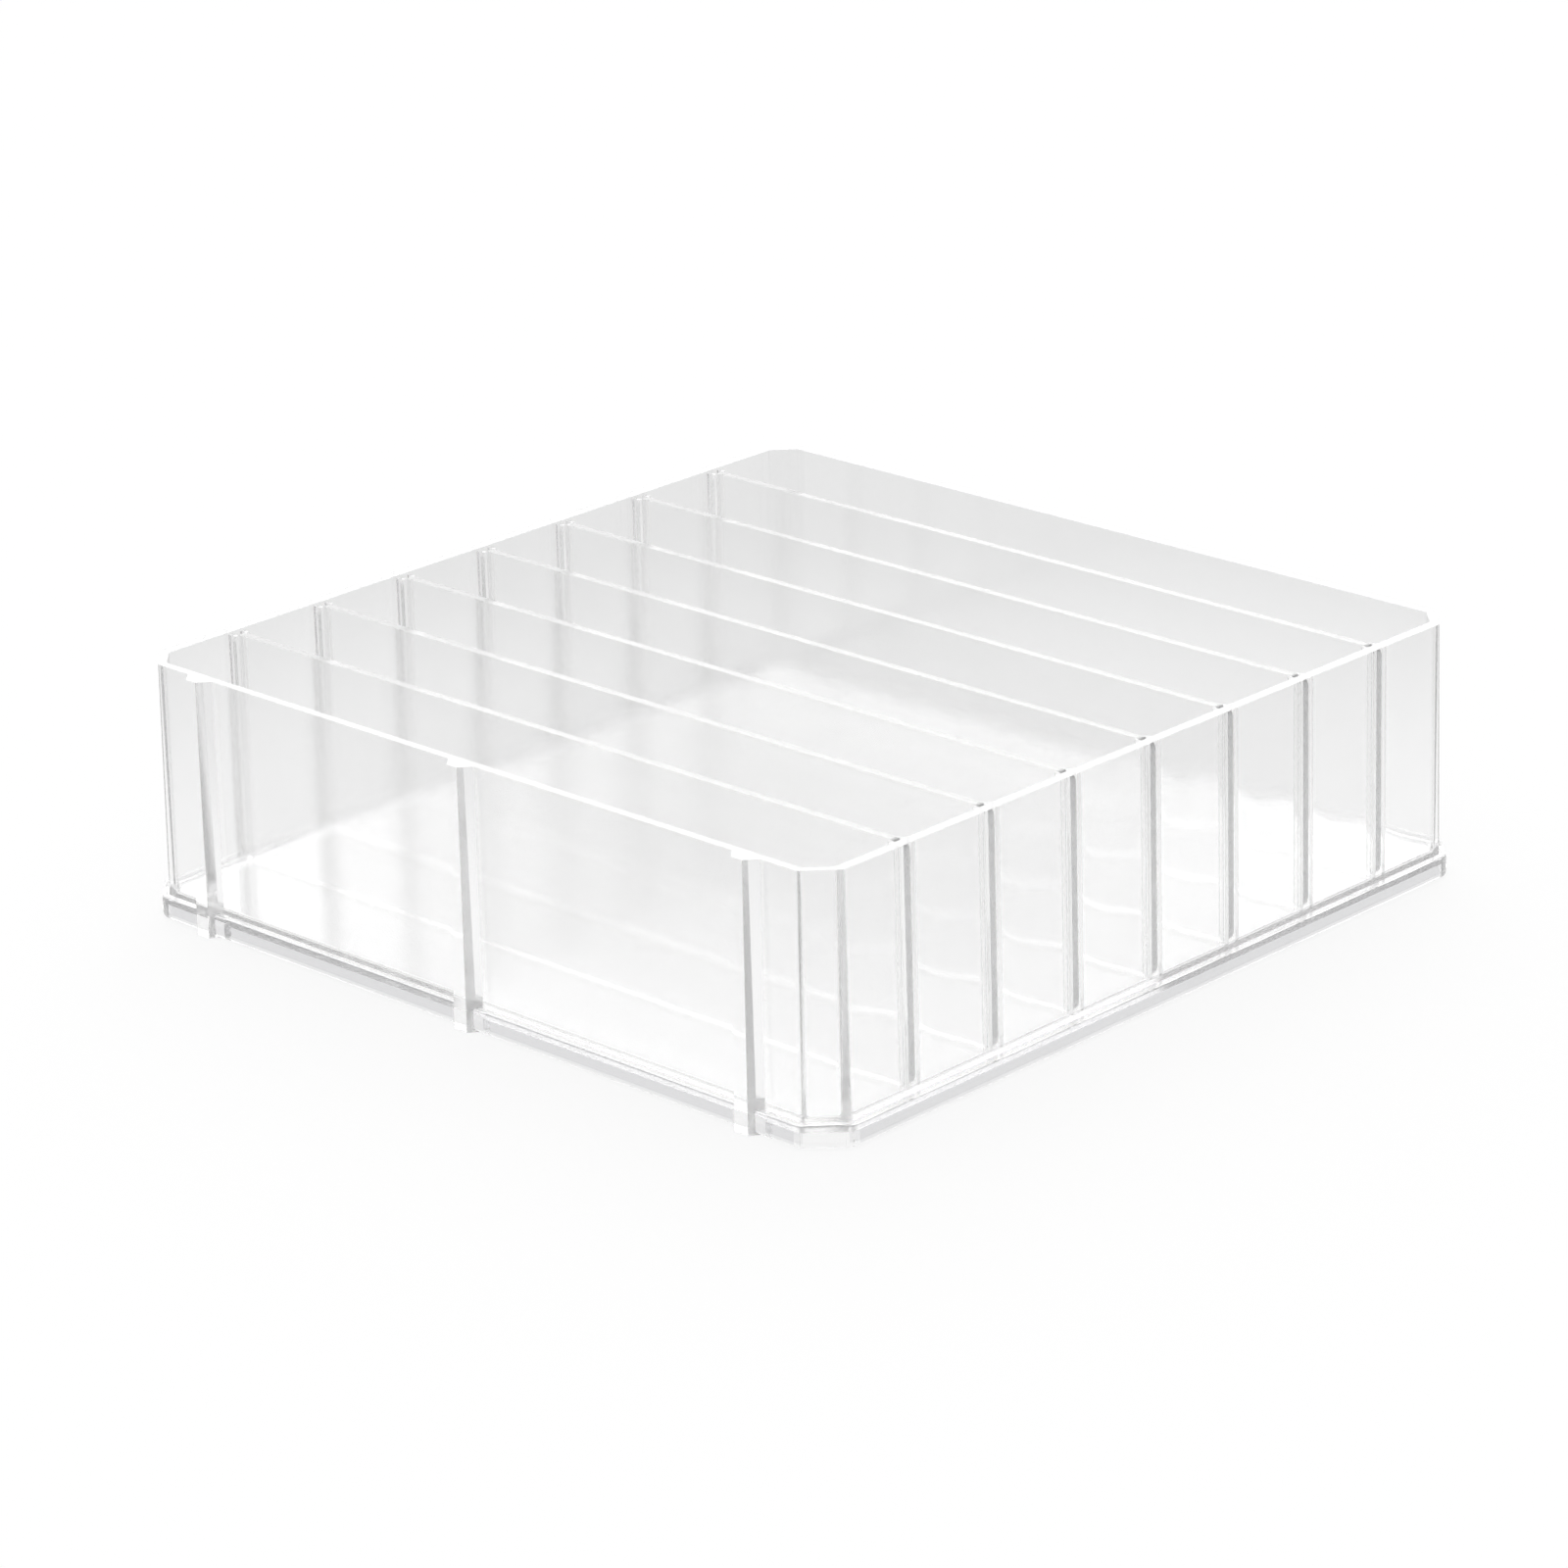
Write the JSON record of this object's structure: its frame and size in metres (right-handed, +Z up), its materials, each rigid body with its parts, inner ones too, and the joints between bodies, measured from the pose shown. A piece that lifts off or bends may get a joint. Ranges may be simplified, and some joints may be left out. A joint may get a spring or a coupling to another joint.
{
  "type": "vanity organizer",
  "caption": "Clear square tray with bevelled corners and upright lift-out dividers that keep make-up palettes and compacts standing on edge on a vanity.",
  "frame": {"origin": "middle of the base, on the surface that it stands on", "axes": "+X along the front wall to the right, +Y from the front wall to the back wall, +Z up"},
  "size_m": [0.2362, 0.2374, 0.0667],
  "materials": {
    "tray_plastic": "clear, polished",
    "divider_plastic": "clear, polished"
  },
  "bodies": {
    "tray": {"tray": "tray_plastic"},
    "divider_1": {"divider_1": "divider_plastic"},
    "divider_2": {"divider_2": "divider_plastic"},
    "divider_3": {"divider_3": "divider_plastic"},
    "divider_4": {"divider_4": "divider_plastic"},
    "divider_5": {"divider_5": "divider_plastic"},
    "divider_6": {"divider_6": "divider_plastic"},
    "divider_7": {"divider_7": "divider_plastic"}
  },
  "joints": [
    {"name": "lift_1", "type": "slide", "parent": "tray", "child": "divider_1", "axis": [0, 0, 1], "range_m": [0, 0.07]},
    {"name": "lift_2", "type": "slide", "parent": "tray", "child": "divider_2", "axis": [0, 0, 1], "range_m": [0, 0.07]},
    {"name": "lift_3", "type": "slide", "parent": "tray", "child": "divider_3", "axis": [0, 0, 1], "range_m": [0, 0.07]},
    {"name": "lift_4", "type": "slide", "parent": "tray", "child": "divider_4", "axis": [0, 0, 1], "range_m": [0, 0.07]},
    {"name": "lift_5", "type": "slide", "parent": "tray", "child": "divider_5", "axis": [0, 0, 1], "range_m": [0, 0.07]},
    {"name": "lift_6", "type": "slide", "parent": "tray", "child": "divider_6", "axis": [0, 0, 1], "range_m": [0, 0.07]},
    {"name": "lift_7", "type": "slide", "parent": "tray", "child": "divider_7", "axis": [0, 0, 1], "range_m": [0, 0.07]}
  ]
}
